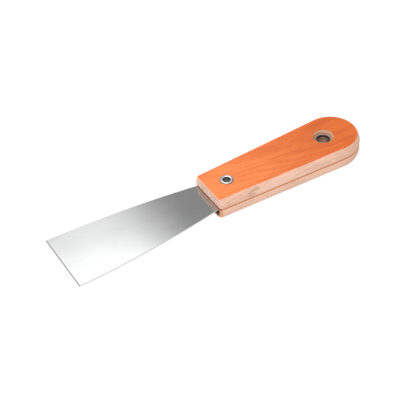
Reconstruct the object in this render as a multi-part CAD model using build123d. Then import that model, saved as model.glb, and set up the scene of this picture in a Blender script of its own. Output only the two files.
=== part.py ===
from build123d import *
from collections import namedtuple
from math import asin, atan2, cos, hypot, sin
import os

# Flexible putty knife, lying flat. Millimetres. +X points to the working edge, +Z is up, and the
# origin is under the middle of the knife, on the plane that the handle rests on.
# Until main() places it, the knife has x = 0 at the handle's front face with the butt towards +x,
# and z = 0 at the middle of the blade's thickness, where the two handle halves meet.

# --- Blade --------------------------------------------------------------------------------------
blade_width = 50.0  # along the working edge
blade_reach = 112.3  # from the handle's front face to the working edge
blade_thickness = 0.7
blade_side_radius = 774.0  # the long sides are slightly bowed
bevel_height = 0.15  # ground bevel on both faces of the working edge
bevel_length = 0.5

shoulder_depth = 6.0  # how far the blade enters the handle before it steps down to its tang
shoulder_width = 26.5
tang_width = 21.0
tang_corner_radius = 2.0

# --- Handle -------------------------------------------------------------------------------------
scale_thickness = 8.75  # one half of the handle
face_front_width = 29.1  # flat outer face, at the handle's front
butt_radius = 18.9  # of the flat outer face, round the butt
butt_centre = 103.7  # from the front face
seam_bulge = 1.7  # how far the side stands out past the outer face at the seam
middle_bulge = 1.95  # the same halfway up the side
upper_corner_radius = 1.5  # upright corners of the front face, on the upper half
lower_corner_radius = 3.0  # rounded more on the lower half
arris_radius = 0.5  # eased edge round the outer face
seam_chamfer = 0.3  # eased edge round the seam
mouth_chamfer = 0.7  # larger easing where the blade comes out
pocket_gap = 0.15  # room around the tang in its milled pocket

# --- Rivets: the head is above, and the other end is rolled over a washer below -------------------
Rivet = namedtuple(
    "Rivet",
    "place bore tube head crown head_recess head_depth "
    "clinch clinch_height washer washer_thickness washer_recess washer_depth",
)
front_rivet = Rivet(
    place=15.5,
    bore=5.2,
    tube=6.2,
    head=9.4,
    crown=0.8,
    head_recess=10.2,
    head_depth=0.3,
    clinch=7.8,
    clinch_height=0.4,
    washer=9.1,
    washer_thickness=0.4,
    washer_recess=9.6,
    washer_depth=0.9,
)
hang_eyelet = Rivet(
    place=97.2,
    bore=9.2,
    tube=10.0,
    head=11.2,
    crown=0.4,
    head_recess=15.0,
    head_depth=3.0,
    clinch=11.4,
    clinch_height=0.6,
    washer=13.6,
    washer_thickness=0.8,
    washer_recess=15.0,
    washer_depth=3.0,
)
rivets = (front_rivet, hang_eyelet)
rivet_gap = 0.1  # room around a rivet's tube, on the radius

# --- Sizes that follow --------------------------------------------------------------------------
tang_end = hang_eyelet.place + tang_width / 2
overshoot = 1.0  # how far a cutting shape starts outside what it cuts
tolerance = 0.01  # for picking out edges and corners by where they are

# The outer face's straight side runs from the front corner to where it is tangent to the butt.
front_corner = Vector(0, face_front_width / 2)
side_angle = asin(butt_radius / hypot(butt_centre, front_corner.Y)) - atan2(front_corner.Y, butt_centre)
along_side = Vector(cos(side_angle), sin(side_angle))
out_of_side = Vector(-sin(side_angle), cos(side_angle))
side_end = Vector(butt_centre, 0) + out_of_side * butt_radius


def across(point):
    """The point's mirror image on the other side of the knife's long axis."""
    return Vector(point.X, -point.Y, point.Z)


def rivet_hole(rivet):
    """The hole for a rivet's tube, longer than the handle is thick."""
    return Pos(rivet.place, 0) * Cylinder(rivet.tube / 2 + rivet_gap, 4 * scale_thickness)


def blade_outline():
    """Plan of the blade and its tang."""
    tip = Vector(-blade_reach, blade_width / 2)
    shoulder = Vector(shoulder_depth, shoulder_width / 2)
    step = Vector(shoulder_depth, tang_width / 2)
    tang_corner = Vector(hang_eyelet.place, tang_width / 2)
    side = RadiusArc(tip, shoulder, blade_side_radius)
    half = Curve() + [side, Line(shoulder, step), Line(step, tang_corner)]
    ends = Curve() + [
        Line(across(tip), tip),
        ThreePointArc(tang_corner, Vector(tang_end, 0), across(tang_corner)),
    ]
    outline = make_face(half + ends + mirror(half, about=Plane.XZ))
    inner_corners = [
        corner
        for corner in outline.vertices()
        if abs(corner.X - shoulder_depth) < tolerance and abs(corner.Y) < shoulder_width / 2 - tolerance
    ]
    return fillet(inner_corners, tang_corner_radius)


def make_blade():
    """Flat spring steel with a finely ground working edge and two rivet holes in its tang."""
    blade = extrude(blade_outline(), amount=blade_thickness / 2, both=True)
    surface = blade_thickness / 2
    slope = bevel_height / bevel_length
    bevel = Plane.XZ * make_face(
        Polyline(
            (-blade_reach - overshoot, surface - bevel_height - slope * overshoot),
            (-blade_reach + bevel_length, surface),
            (-blade_reach + bevel_length, surface + overshoot),
            (-blade_reach - overshoot, surface + overshoot),
            close=True,
        )
    )
    ground_off = extrude(bevel, amount=blade_width, both=True)
    blade = blade - ground_off - mirror(ground_off, about=Plane.XY)
    return blade - rivet_hole(front_rivet) - rivet_hole(hang_eyelet)


def face_path():
    """Line round the handle's outer face, from in front of one front corner to the other."""
    start = front_corner - along_side * overshoot
    butt = Vector(butt_centre + butt_radius, 0)
    path = Curve() + [
        Line(start, side_end),
        ThreePointArc(side_end, butt, across(side_end)),
        Line(across(side_end), across(start)),
    ]
    return start, path


def side_band(start, path):
    """What the bulging side adds outside the outer face's outline."""
    section = make_face(
        Curve()
        + [
            ThreePointArc((seam_bulge, 0), (middle_bulge, scale_thickness / 2), (0, scale_thickness)),
            Polyline((0, scale_thickness), (0, 0), (seam_bulge, 0)),
        ]
    )
    at_start = Plane(origin=start, x_dir=out_of_side, z_dir=along_side)
    return sweep(at_start * section, path=path)


def make_scale(corner_radius):
    """The handle's upper half before its rivet recesses are cut. Turned over, it is the lower half."""
    start, path = face_path()
    face = make_face(path + Line(across(start), start))
    scale = extrude(face, amount=scale_thickness) + side_band(start, path)
    in_front = Pos(-overshoot, 0) * Box(2 * overshoot, 4 * butt_radius, 4 * scale_thickness)
    scale = scale - in_front

    corners = [
        edge
        for edge in scale.edges()
        if abs(edge.center().X) < tolerance and edge.bounding_box().size.Z > scale_thickness / 2
    ]
    scale = fillet(corners, corner_radius)
    scale = fillet(scale.faces().sort_by(Axis.Z)[-1].edges(), arris_radius)
    scale = chamfer(scale.faces().sort_by(Axis.Z)[0].edges(), seam_chamfer)

    mouth_reach = mouth_chamfer + overshoot
    mouth = Plane.XZ * make_face(
        Polyline((-overshoot, -overshoot), (mouth_reach, -overshoot), (-overshoot, mouth_reach), close=True)
    )
    scale = scale - extrude(mouth, amount=2 * butt_radius, both=True)

    pocket = extrude(offset(blade_outline(), amount=pocket_gap), amount=blade_thickness / 2, both=True)
    scale = scale - pocket
    for rivet in rivets:
        scale = scale - rivet_hole(rivet)
    return scale


def recess(rivet, diameter, depth):
    """What is cut out of the handle's outer face round a rivet."""
    return Pos(rivet.place, 0, scale_thickness) * Cylinder(diameter / 2, 2 * depth)


def make_rivet(rivet):
    """Steel tube with a rolled head above and its other end rolled over the washer below."""
    seat = scale_thickness - rivet.head_depth
    washer_face = rivet.washer_depth - scale_thickness - rivet.washer_thickness
    bore, tube, head, clinch = (d / 2 for d in (rivet.bore, rivet.tube, rivet.head, rivet.clinch))
    rolled_head = EllipticalCenterArc(
        ((bore + head) / 2, seat), (head - bore) / 2, rivet.crown, start_angle=0, arc_size=180
    )
    rolled_end = EllipticalCenterArc(
        ((bore + clinch) / 2, washer_face),
        (clinch - bore) / 2,
        rivet.clinch_height,
        start_angle=180,
        arc_size=180,
    )
    wall = Curve() + [
        Line((bore, seat), (bore, washer_face)),
        Polyline((clinch, washer_face), (tube, washer_face), (tube, seat), (head, seat)),
    ]
    profile = Plane.XZ * make_face(wall + rolled_head + rolled_end)
    return Pos(rivet.place, 0) * revolve(profile, Axis.Z)


def make_washer(rivet):
    """Flat steel ring in the lower recess."""
    middle = rivet.washer_depth - scale_thickness - rivet.washer_thickness / 2
    ring = Cylinder(rivet.washer / 2, rivet.washer_thickness) - Cylinder(
        rivet.tube / 2, rivet.washer_thickness
    )
    return Pos(rivet.place, 0, middle) * ring


def main():
    upper_scale = make_scale(upper_corner_radius)
    lower_scale = mirror(make_scale(lower_corner_radius), about=Plane.XY)
    for rivet in rivets:
        upper_scale = upper_scale - recess(rivet, rivet.head_recess, rivet.head_depth)
        washer_recess = recess(rivet, rivet.washer_recess, rivet.washer_depth)
        lower_scale = lower_scale - mirror(washer_recess, about=Plane.XY)
    pieces = {
        "blade": make_blade(),
        "upper_scale": upper_scale,
        "lower_scale": lower_scale,
        "front_rivet": make_rivet(front_rivet),
        "front_rivet_washer": make_washer(front_rivet),
        "hang_eyelet": make_rivet(hang_eyelet),
        "hang_eyelet_washer": make_washer(hang_eyelet),
    }
    box = Compound(list(pieces.values())).bounding_box()
    lying_flat = Rot(0, 0, 180) * Pos(-box.center().X, -box.center().Y, -box.min.Z)
    os.makedirs("parts", exist_ok=True)
    for node, piece in pieces.items():
        placed = lying_flat * piece
        placed.label = node
        export_step(placed, f"parts/{node}.step")


main()
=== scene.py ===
from collections import namedtuple
from math import asin, atan2, cos, radians, sin

import bpy
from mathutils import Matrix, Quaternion, Vector


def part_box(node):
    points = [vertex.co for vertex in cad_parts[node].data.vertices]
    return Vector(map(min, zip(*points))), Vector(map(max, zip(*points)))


# Flexible putty knife, lying flat. The frame is in metres: +X points to the working edge, +Y to the
# near side, and +Z is up.

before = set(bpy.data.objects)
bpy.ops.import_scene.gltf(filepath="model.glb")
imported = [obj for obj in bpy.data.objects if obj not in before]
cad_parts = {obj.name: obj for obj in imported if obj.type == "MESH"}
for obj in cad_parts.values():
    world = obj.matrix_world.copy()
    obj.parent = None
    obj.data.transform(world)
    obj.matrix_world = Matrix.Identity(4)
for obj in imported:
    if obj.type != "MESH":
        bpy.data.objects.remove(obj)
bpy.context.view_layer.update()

MM = 0.001
WHITE = (1.0, 1.0, 1.0, 1.0)
handle_low, handle_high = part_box("upper_scale")
blade_low, blade_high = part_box("blade")
rivet_low, rivet_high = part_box("front_rivet")
eyelet_low, eyelet_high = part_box("hang_eyelet")
seam_height = (blade_low.z + blade_high.z) / 2
scale_thickness = handle_high.z - seam_height
front_face = handle_high.x
butt_end = handle_low.x
side_bulge = 2.09 * MM  # how far the handle's side stands out past its outer face
face_front_half = 14.55 * MM  # half the outer face's width at the front

rivet_axis = Vector(((rivet_low.x + rivet_high.x) / 2, 0, 0))
eyelet_axis = Vector(((eyelet_low.x + eyelet_high.x) / 2, 0, 0))
rivet_recess = 5.1 * MM  # radius of the recess round the front rivet's head
eyelet_recess = 7.5 * MM  # and round the eyelet's
eyelet_crown = 0.4 * MM  # how far the eyelet's rolled head stands above the bottom of its recess
recess_floor = eyelet_high.z - eyelet_crown - seam_height  # above the seam

stain_place = Vector(
    (front_face - 25.5 * MM, face_front_half + 2.8 * MM, seam_height + 4.7 * MM)
)
flame_place = Vector(
    (front_face - 42.0 * MM, face_front_half + 3.5 * MM, seam_height + 3.6 * MM)
)


# --- Camera --------------------------------------------------------------------------------------
def make_camera():
    """A long lens, looking down on the knife from its near side and turned a little on its axis."""
    azimuth, elevation, roll = radians(151.19), radians(42.578), radians(-3.853)
    distance = 785.9 * MM
    aim = Vector((front_face + 6.14 * MM, -0.65 * MM, blade_high.z))
    back = Vector(
        (sin(azimuth) * cos(elevation), -cos(azimuth) * cos(elevation), sin(elevation))
    )
    camera = bpy.data.objects.new("camera", bpy.data.cameras.new("camera"))
    camera.data.lens = 102.875
    camera.data.sensor_width = 36.0
    camera.data.clip_start = 0.05
    camera.location = aim + back * distance
    camera.rotation_mode = "QUATERNION"
    camera.rotation_quaternion = (-back).to_track_quat("-Z", "Y") @ Quaternion((0, 0, 1), roll)
    bpy.context.collection.objects.link(camera)
    bpy.context.scene.camera = camera


# --- Node helpers --------------------------------------------------------------------------------
def add(tree, kind, inputs=None, **settings):
    """Adds a shader node. Its inputs, by name or number, are numbers to set or outputs to link."""
    node = tree.nodes.new("ShaderNode" + kind)
    for name, value in settings.items():
        setattr(node, name, value)
    for socket, value in (inputs or {}).items():
        if isinstance(value, bpy.types.NodeSocket):
            tree.links.new(value, node.inputs[socket])
        else:
            node.inputs[socket].default_value = value
    return node


def math(tree, operation, a, b=0.0):
    """An operation on one or two numbers."""
    return add(tree, "Math", {0: a, 1: b}, operation=operation).outputs[0]


def vector_math(tree, operation, a, b=(0.0, 0.0, 0.0)):
    """A vector operation that gives a vector."""
    return add(tree, "VectorMath", {0: a, 1: b}, operation=operation).outputs[0]


def length(tree, vector):
    return add(tree, "VectorMath", {0: vector}, operation="LENGTH").outputs["Value"]


def dot(tree, vector, way):
    inputs = {0: vector, 1: way}
    return add(tree, "VectorMath", inputs, operation="DOT_PRODUCT").outputs["Value"]


def part_along(tree, vector, axis):
    """The X, Y or Z of a vector."""
    return add(tree, "SeparateXYZ", {0: vector}).outputs[axis]


def turned(tree, position, angles, offset=(0.0, 0.0, 0.0)):
    """The position turned about each axis, and then moved."""
    inputs = {"Vector": position, "Rotation": angles, "Location": offset}
    return add(tree, "Mapping", inputs).outputs["Vector"]


def stretched(tree, position, scale):
    """The position scaled by a different amount along each axis."""
    return vector_math(tree, "MULTIPLY", position, scale)


def step(tree, value, start, end):
    """0 before start, 1 after end, and smooth between them. End may be below start."""
    inputs = {"Value": value, "From Min": start, "From Max": end}
    return add(tree, "MapRange", inputs, interpolation_type="SMOOTHSTEP").outputs["Result"]


def noise(tree, position, scale=1.0, detail=2.0, roughness=0.5):
    inputs = {"Vector": position, "Scale": scale, "Detail": detail, "Roughness": roughness}
    return add(tree, "TexNoise", inputs).outputs["Fac"]


def weighted(tree, parts):
    """The sum of pairs of a value and its weight."""
    total = 0.0
    for value, weight in parts:
        total = math(tree, "ADD", total, math(tree, "MULTIPLY", value, weight))
    return total


def mix(tree, factor, a, b):
    """Mixes two colours."""
    node = add(tree, "Mix", {"Factor": factor}, data_type="RGBA")
    for socket, value in ((node.inputs[6], a), (node.inputs[7], b)):
        if isinstance(value, bpy.types.NodeSocket):
            tree.links.new(value, socket)
        else:
            socket.default_value = (*value, 1.0)
    return node.outputs[2]


def tint(tree, colour, over, mask, strength):
    """Covers colour with over, at this strength, where the mask is 1."""
    return mix(tree, math(tree, "MULTIPLY", mask, strength), colour, over)


def new_material(name):
    """An empty material, its tree, and the object-space position in millimetres."""
    material = bpy.data.materials.new(name)
    material.use_nodes = True
    tree = material.node_tree
    tree.nodes.clear()
    place = add(tree, "TexCoord").outputs["Object"]
    position = add(tree, "VectorMath", {0: place, "Scale": 1 / MM}, operation="SCALE").outputs[0]
    return material, tree, position


def shade(tree, colour, roughness, height, bump_height, **uniform):
    """Principled surface. bump_height is in millimetres. uniform holds numbers by socket name."""
    bump = add(tree, "Bump", {"Height": height, "Distance": bump_height * MM})
    surface = add(
        tree,
        "BsdfPrincipled",
        {"Base Color": colour, "Roughness": roughness, "Normal": bump.outputs[0]},
    )
    for name, value in uniform.items():
        surface.inputs[name.replace("_", " ")].default_value = value
    output = add(tree, "OutputMaterial")
    tree.links.new(surface.outputs[0], output.inputs["Surface"])


# --- Where a point is ----------------------------------------------------------------------------
def offset_from(tree, position, place):
    """From a place in the frame to the position, in millimetres."""
    return vector_math(tree, "SUBTRACT", position, place / MM)


def distance_from(tree, position, axis):
    """How far a point is from an upright axis, in millimetres."""
    away = offset_from(tree, position, axis)
    return length(tree, stretched(tree, away, (1, 1, 0)))


def near_axis(tree, position, axis, outer, inner):
    """1 nearer to an upright axis than inner, in millimetres, and 0 beyond outer."""
    return step(tree, distance_from(tree, position, axis), outer, inner)


def inset_from_side(tree, position):
    """How far inside the outer face's sides and round butt a point is, in plan, in millimetres."""
    centre = Vector((butt_end + handle_high.y, 0, 0))
    radius = handle_high.y - side_bulge
    corner = Vector((front_face, face_front_half, 0)) - centre
    turn = asin(radius / corner.length) - atan2(corner.y, corner.x)
    along, outward = Vector((cos(turn), -sin(turn), 0)), Vector((sin(turn), cos(turn), 0))

    from_centre = add(tree, "SeparateXYZ", {0: offset_from(tree, position, centre)}).outputs
    across = math(tree, "ABSOLUTE", from_centre["Y"])
    half = add(tree, "CombineXYZ", {"X": from_centre["X"], "Y": across}).outputs[0]
    round_butt = math(tree, "MINIMUM", dot(tree, half, along), 0.0)
    reach = add(tree, "CombineXYZ", {"X": dot(tree, half, outward), "Y": round_butt}).outputs[0]
    return math(tree, "SUBTRACT", radius / MM, length(tree, reach))


def spot(tree, position, place, tilt, half_sizes, soft):
    """1 inside an ellipsoid in millimetres, tilted about Y, fading over the soft fraction of it."""
    away = turned(tree, offset_from(tree, position, place), (0.0, radians(tilt), 0.0))
    away = stretched(tree, away, tuple(1 / size for size in half_sizes))
    return step(tree, length(tree, away), 1 + soft, 1 - soft)


def facing_forward(tree):
    """How nearly the surface faces the working edge: 1 when it does."""
    return part_along(tree, add(tree, "TexCoord").outputs["Normal"], "X")


# --- Wood ----------------------------------------------------------------------------------------
# Base colours are linear red, green and blue. A pair is the two ends of a mix.
WOOD = {
    "upper bare": ((0.76, 0.480, 0.365), (0.58, 0.340, 0.240)),
    "lower bare": ((0.77, 0.492, 0.374), (0.59, 0.347, 0.252)),
    "fleck": (0.40, 0.20, 0.13),
    "end grain": ((0.88, 0.625, 0.49), (0.43, 0.25, 0.18)),
    "grey stain": (0.36, 0.195, 0.125),
    "pale flame": (0.85, 0.580, 0.465),
    "recess wall": (0.88, 0.58, 0.345),
    "shade on recess floor": (0.36, 0.205, 0.145),
    "shade round front rivet": (0.20, 0.08, 0.045),
    "stained at front": ((0.72, 0.206, 0.055), (0.590, 0.130, 0.026)),
    "stained and shaded at butt": ((0.550, 0.112, 0.010), (0.440, 0.070, 0.003)),
    "stained fleck": (0.42, 0.08, 0.02),
    "stained rim": (0.58, 0.098, 0.007),
    "tinged front end": (0.58, 0.21, 0.070),
    "soaked front end": (0.045, 0.010, 0.003),
    "fringe of seam": (0.70, 0.33, 0.165),
    "seam": (0.50, 0.16, 0.050),
    "mouth": (0.30, 0.070, 0.024),
}
Grain = namedtuple("Grain", "figure streaks fibres flecks pores blotches")


def beech_grain(tree, position, seed):
    """The patterns of the grain, each from 0 to 1. The seed picks the part of the wood."""
    # The grain runs across the board a little, towards its near side at the butt.
    shift = (37.0 * seed, 11.0 * seed, 5.0 * seed)
    grain = turned(tree, position, (0.0, radians(-1.0), radians(6.5)), shift)

    # Growth rings round an axis that lies below and beside the board.
    wander = noise(tree, stretched(tree, grain, (0.012, 0.04, 0.04)), detail=1.0)
    wander = math(tree, "MULTIPLY", math(tree, "SUBTRACT", wander, 0.5), 6.0)
    bent = vector_math(tree, "ADD", grain, wander)
    bent = vector_math(tree, "ADD", bent, (0, 19.0 + 17.0 * seed, 38.0))
    rings = add(
        tree,
        "TexWave",
        {"Vector": bent, "Scale": 0.20, "Distortion": 1.2, "Detail": 2.0, "Detail Scale": 0.3},
        wave_type="RINGS",
        rings_direction="X",
    ).outputs["Fac"]

    def along_grain(scale, **settings):
        return noise(tree, stretched(tree, grain, scale), **settings)

    streaks = along_grain((0.022, 0.62, 0.62), detail=3.0, roughness=0.6)
    fibres = along_grain((0.08, 1.40, 1.40), detail=4.0, roughness=0.75)
    flecks = along_grain((0.35, 1.9, 1.9), detail=2.0, roughness=0.6)
    patches = along_grain((0.035, 0.09, 0.09), detail=2.0)
    mottle = along_grain((0.45, 0.70, 0.70), detail=3.0, roughness=0.7)
    pores = along_grain((1.0, 1.0, 1.0), detail=3.0, roughness=0.75)
    blotches = along_grain((0.25, 0.35, 0.60), detail=3.0, roughness=0.6)
    figure = weighted(
        tree,
        ((rings, 0.14), (streaks, 0.38), (mottle, 0.36), (fibres, 0.75), (patches, 0.40)),
    )
    return Grain(
        figure=step(tree, figure, 0.77, 1.27),
        streaks=streaks,
        fibres=fibres,
        flecks=step(tree, flecks, 0.54, 0.72),
        pores=step(tree, pores, 0.35, 0.65),
        blotches=step(tree, blotches, 0.34, 0.60),
    )


def bare_beech(tree, position, grain, pale, brown):
    """The bare wood of the sides, the front end and the recesses."""
    from_butt = math(tree, "SUBTRACT", part_along(tree, position, "X"), butt_end / MM)
    bare = mix(tree, grain.figure, pale, brown)
    # Painted shade: the bare wood turns brown towards the round butt.
    bare = tint(tree, bare, brown, step(tree, from_butt, 38.0, 14.0), 0.85)
    bare = tint(tree, bare, WOOD["fleck"], grain.flecks, 0.40)
    end = step(tree, math(tree, "ABSOLUTE", facing_forward(tree)), 0.80, 0.97)
    bare = mix(tree, end, bare, mix(tree, grain.pores, *WOOD["end grain"]))

    # A grey stain slants up through the near side, with a pale flame in the wood behind it.
    flame = spot(tree, position, flame_place, -4.0, (15.0, 4.0, 3.2), soft=0.5)
    bare = tint(tree, bare, WOOD["pale flame"], flame, 0.33)
    stain = spot(tree, position, stain_place, -24.0, (5.1, 3.4, 2.1), soft=0.47)
    stain = math(tree, "MULTIPLY", stain, grain.blotches)
    bare = tint(tree, bare, WOOD["grey stain"], stain, 0.80)

    # The wood in the eyelet's recess is paler than the sides.
    recess = eyelet_recess / MM
    near_eyelet = near_axis(tree, position, eyelet_axis, recess + 0.7, recess + 0.2)
    return tint(tree, bare, WOOD["recess wall"], near_eyelet, 0.5)


def stained_face(tree, position, grain):
    """The orange face, darker towards the butt, partly in its stain and partly as painted shade
    where the light falls off, and redder in streaks along its rim.
    """
    along = part_along(tree, position, "X")
    # Painted shade in part: the face darkens from the front to the butt.
    towards_butt = step(tree, along, front_face / MM - 10.0, butt_end / MM + 15.0)
    at_front = mix(tree, grain.figure, *WOOD["stained at front"])
    shaded_at_butt = mix(tree, grain.figure, *WOOD["stained and shaded at butt"])
    stained = mix(tree, towards_butt, at_front, shaded_at_butt)
    stained = tint(tree, stained, WOOD["stained fleck"], grain.flecks, 0.40)
    rim = step(tree, inset_from_side(tree, position), 3.0, 0.3)
    rim = math(tree, "MULTIPLY", rim, step(tree, grain.streaks, 0.35, 0.60))
    return tint(tree, stained, WOOD["stained rim"], rim, 0.60)


def shaded_recesses(tree, position, from_seam, colour):
    """Painted shade: the bottom of the eyelet's recess is darker, and the front rivet's recess all
    over.
    """
    recess = eyelet_recess / MM
    deep = step(tree, from_seam, recess_floor / MM + 0.6, recess_floor / MM + 0.1)
    near_eyelet = near_axis(tree, position, eyelet_axis, recess + 0.7, recess + 0.2)
    bottom = math(tree, "MULTIPLY", deep, near_eyelet)
    colour = mix(tree, bottom, colour, WOOD["shade on recess floor"])
    recess = rivet_recess / MM
    rivet_shade = near_axis(tree, position, rivet_axis, recess - 0.1, recess - 0.25)
    return mix(tree, rivet_shade, colour, WOOD["shade round front rivet"])


def stained_seam(tree, position, above_seam, from_seam, fibres, colour):
    """Stain along the seam and on its edges, and painted shade in the gap where the blade comes
    out.
    """
    behind_front = math(tree, "SUBTRACT", part_along(tree, position, "X"), front_face / MM)
    lower_half = step(tree, above_seam, 0.2, -0.2)
    near_front = step(tree, behind_front, -26.0, -16.0)
    fringe = math(tree, "MULTIPLY", step(tree, from_seam, 1.7, 0.5), step(tree, fibres, 0.30, 0.60))
    fringe = math(tree, "MULTIPLY", fringe, math(tree, "MAXIMUM", lower_half, near_front))
    colour = tint(tree, colour, WOOD["fringe of seam"], fringe, 0.55)
    colour = mix(tree, step(tree, from_seam, 0.65, 0.35), colour, WOOD["seam"])
    # Painted shade: the gap above the blade at the front is painted dark brown.
    mouth = step(tree, behind_front, -1.6, -1.0)
    mouth = math(tree, "MULTIPLY", mouth, step(tree, from_seam, 1.3, 0.9))
    return mix(tree, mouth, colour, WOOD["mouth"])


def stained_beech(name, seed, pale, brown):
    """Beech board, stained orange on both faces and then cut to shape, so its sides are bare."""
    material, tree, position = new_material(name)
    grain = beech_grain(tree, position, seed)
    above_seam = math(tree, "SUBTRACT", part_along(tree, position, "Z"), seam_height / MM)
    from_seam = math(tree, "ABSOLUTE", above_seam)

    # How far the point is from the seam tells the stained faces from the bare sides.
    ragged = math(tree, "MULTIPLY", math(tree, "SUBTRACT", grain.fibres, 0.5), 0.6)
    outside = math(tree, "ADD", from_seam, ragged)
    outside = step(tree, outside, scale_thickness / MM - 0.22, scale_thickness / MM - 0.12)
    bare = bare_beech(tree, position, grain, pale, brown)
    colour = mix(tree, outside, bare, stained_face(tree, position, grain))
    colour = shaded_recesses(tree, position, from_seam, colour)

    # Stain has tinged the front end below the blade. Its flat front right under the blade is
    # painted nearly black as painted shade under the blade.
    forward = facing_forward(tree)
    below = step(tree, above_seam, -0.5, -1.5)
    tinged = math(tree, "MULTIPLY", below, step(tree, forward, 0.10, 0.60))
    colour = tint(tree, colour, WOOD["tinged front end"], tinged, 0.65)
    under_blade_shade = math(tree, "MULTIPLY", below, step(tree, forward, 0.93, 1.0))
    under_blade_shade = math(tree, "MULTIPLY", under_blade_shade, step(tree, above_seam, -8.6, -5.5))
    colour = mix(tree, under_blade_shade, colour, WOOD["soaked front end"])
    colour = stained_seam(tree, position, above_seam, from_seam, grain.fibres, colour)

    roughness = weighted(tree, ((grain.fibres, 0.12), (outside, -0.10), (under_blade_shade, 0.40)))
    roughness = math(tree, "ADD", roughness, 0.50)
    relief = weighted(tree, ((grain.fibres, 1.0), (grain.flecks, -0.4)))
    shade(tree, colour, roughness, relief, 0.05, Specular_IOR_Level=0.35)
    return material


# --- Steel ---------------------------------------------------------------------------------------
STEEL = {
    "blade": ((0.445, 0.446, 0.449), (0.478, 0.479, 0.482)),
    "working edge": (0.09, 0.09, 0.092),
    "front rivet": ((0.44, 0.45, 0.47), (0.58, 0.58, 0.59)),
    "front rivet bore": ((0.56, 0.52, 0.48), (0.70, 0.66, 0.62)),
    "eyelet": ((0.36, 0.38, 0.40), (0.48, 0.50, 0.52)),
    # Painted reflection: the eyelet's bore is brown for the wood it reflects.
    "eyelet bore": ((0.40, 0.27, 0.20), (0.52, 0.36, 0.275)),
    "shade at rim": (0.16, 0.14, 0.13),
    "shade in lip of bore": (0.07, 0.07, 0.075),
}


def spring_steel():
    """Ground and polished blade, with fine lines along it and a painted dark reflection on its
    ground edge.
    """
    material, tree, position = new_material("spring_steel")
    lines = noise(tree, stretched(tree, position, (0.04, 5.0, 5.0)), detail=4.0, roughness=0.7)
    clouds = noise(tree, stretched(tree, position, (0.05, 0.08, 0.08)), detail=3.0)
    tone = weighted(tree, ((lines, 0.5), (clouds, 0.5)))
    colour = mix(tree, step(tree, tone, 0.3, 0.7), *STEEL["blade"])
    # Painted shade: the ground working edge is painted dark, for the darker reflection it shows.
    edge_reflection_shade = step(tree, facing_forward(tree), 0.15, 0.25)
    colour = mix(tree, edge_reflection_shade, colour, STEEL["working edge"])
    roughness = math(tree, "ADD", math(tree, "MULTIPLY", tone, 0.04), 0.05)
    shade(tree, colour, roughness, lines, 0.0002, Metallic=1.0)
    return material


def plated_steel(name, axis, top, dark_radius, rim_radius, plate, bore):
    """Nickel plate on a rivet: rougher with its own colour inside dark_radius, and painted shade
    outside rim_radius, in millimetres.
    """
    material, tree, position = new_material(name)
    specks = noise(tree, position, scale=2.5, detail=4.0, roughness=0.6)
    colour = mix(tree, specks, *plate)
    from_axis = distance_from(tree, position, axis)
    # Painted shade round the edge of the head.
    rim = step(tree, from_axis, rim_radius, rim_radius + 0.2)
    colour = mix(tree, rim, colour, STEEL["shade at rim"])
    in_bore = step(tree, from_axis, dark_radius, dark_radius - 0.2)
    colour = mix(tree, in_bore, colour, mix(tree, specks, *bore))

    # Painted shade: the lip of the bore is dark just below the rolled head.
    below_top = math(tree, "SUBTRACT", part_along(tree, position, "Z"), top / MM)
    lip = math(tree, "MULTIPLY", in_bore, step(tree, below_top, -2.2, -1.2))
    colour = mix(tree, lip, colour, STEEL["shade in lip of bore"])
    roughness = math(tree, "ADD", weighted(tree, ((specks, 0.15), (in_bore, 0.25))), 0.12)
    shade(tree, colour, roughness, specks, 0.01, Metallic=1.0)
    return material


# --- Surroundings --------------------------------------------------------------------------------
def make_floor():
    """Plain floor. Nearly all its white is its own glow, so hardly any shadow shows on it."""
    bpy.ops.mesh.primitive_plane_add(size=24.0)
    floor = bpy.context.object
    floor.name = "floor"
    material, tree, _ = new_material("floor")
    surface = add(tree, "BsdfPrincipled")
    surface.inputs["Base Color"].default_value = (0.10, 0.10, 0.10, 1.0)
    surface.inputs["Roughness"].default_value = 0.9
    surface.inputs["Specular IOR Level"].default_value = 0.0
    surface.inputs["Emission Color"].default_value = WHITE
    surface.inputs["Emission Strength"].default_value = 0.94
    output = add(tree, "OutputMaterial")
    tree.links.new(surface.outputs[0], output.inputs["Surface"])
    floor.data.materials.append(material)


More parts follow.
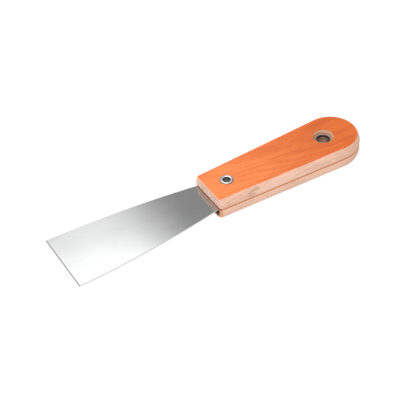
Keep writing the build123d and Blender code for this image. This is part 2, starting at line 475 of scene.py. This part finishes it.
def make_sky():
    """A studio all round: a dim room with pale parts that the blade reflects."""
    world = bpy.data.worlds.new("studio")
    bpy.context.scene.world = world
    world.use_nodes = True
    tree = world.node_tree
    tree.nodes.clear()
    direction = add(tree, "TexCoord").outputs["Generated"]

    def facing(x, y, z):
        """How nearly the direction faces this way: 1 when it does."""
        return dot(tree, direction, Vector((x, y, z)).normalized())

    # Each part fades in between two such values. The softbox is dimmer in its middle.
    room = 0.48
    wall_behind_camera = step(tree, facing(0.45, 0.85, -0.25), -0.75, 0.35)
    towards_softbox = facing(0.3, -0.5, 0.8)
    softbox = step(tree, towards_softbox, 0.773, 0.813)
    softbox_middle = step(tree, towards_softbox, 0.818, 0.840)
    ceiling = step(tree, facing(0.1, 0, 1), 0.656, 0.685)
    horizon = step(tree, facing(0, 0, 1), 0.35, 0.10)
    strength = weighted(
        tree,
        (
            (wall_behind_camera, 0.30),
            (softbox, 1.17),
            (softbox_middle, -0.30),
            (ceiling, 0.83),
            (horizon, 0.50),
        ),
    )
    background = add(tree, "Background", {"Strength": math(tree, "ADD", strength, room)})
    background.inputs["Color"].default_value = WHITE
    output = add(tree, "OutputWorld")
    tree.links.new(background.outputs[0], output.inputs["Surface"])
    bpy.context.scene.view_settings.view_transform = "Standard"


def make_lamp():
    """A soft lamp above the near side of the blade's tip, so that light falls off to the butt."""
    lamp = bpy.data.objects.new("key_lamp", bpy.data.lights.new("key_lamp", "AREA"))
    lamp.data.shape = "DISK"
    lamp.data.size = 0.35
    lamp.data.energy = 0.45
    lamp.location = (0.16, 0.20, 0.32)
    lamp.rotation_euler = (-lamp.location).to_track_quat("-Z", "Y").to_euler()
    bpy.context.collection.objects.link(lamp)


def dress(node, material):
    """Gives a piece this material in place of its plain one."""
    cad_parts[node].data.materials[0] = material


make_camera()
make_floor()
make_sky()
make_lamp()

dress("upper_scale", stained_beech("upper_beech", 0.0, *WOOD["upper bare"]))
dress("lower_scale", stained_beech("lower_beech", 1.0, *WOOD["lower bare"]))
dress("blade", spring_steel())

front_plate = plated_steel(
    "front_rivet_plate",
    rivet_axis,
    rivet_high.z,
    dark_radius=2.85,
    rim_radius=4.30,
    plate=STEEL["front rivet"],
    bore=STEEL["front rivet bore"],
)
eyelet_plate = plated_steel(
    "hang_eyelet_plate",
    eyelet_axis,
    eyelet_high.z,
    dark_radius=5.1,
    rim_radius=5.7,
    plate=STEEL["eyelet"],
    bore=STEEL["eyelet bore"],
)
for node, plate in (("front_rivet", front_plate), ("hang_eyelet", eyelet_plate)):
    dress(node, plate)
    dress(node + "_washer", plate)
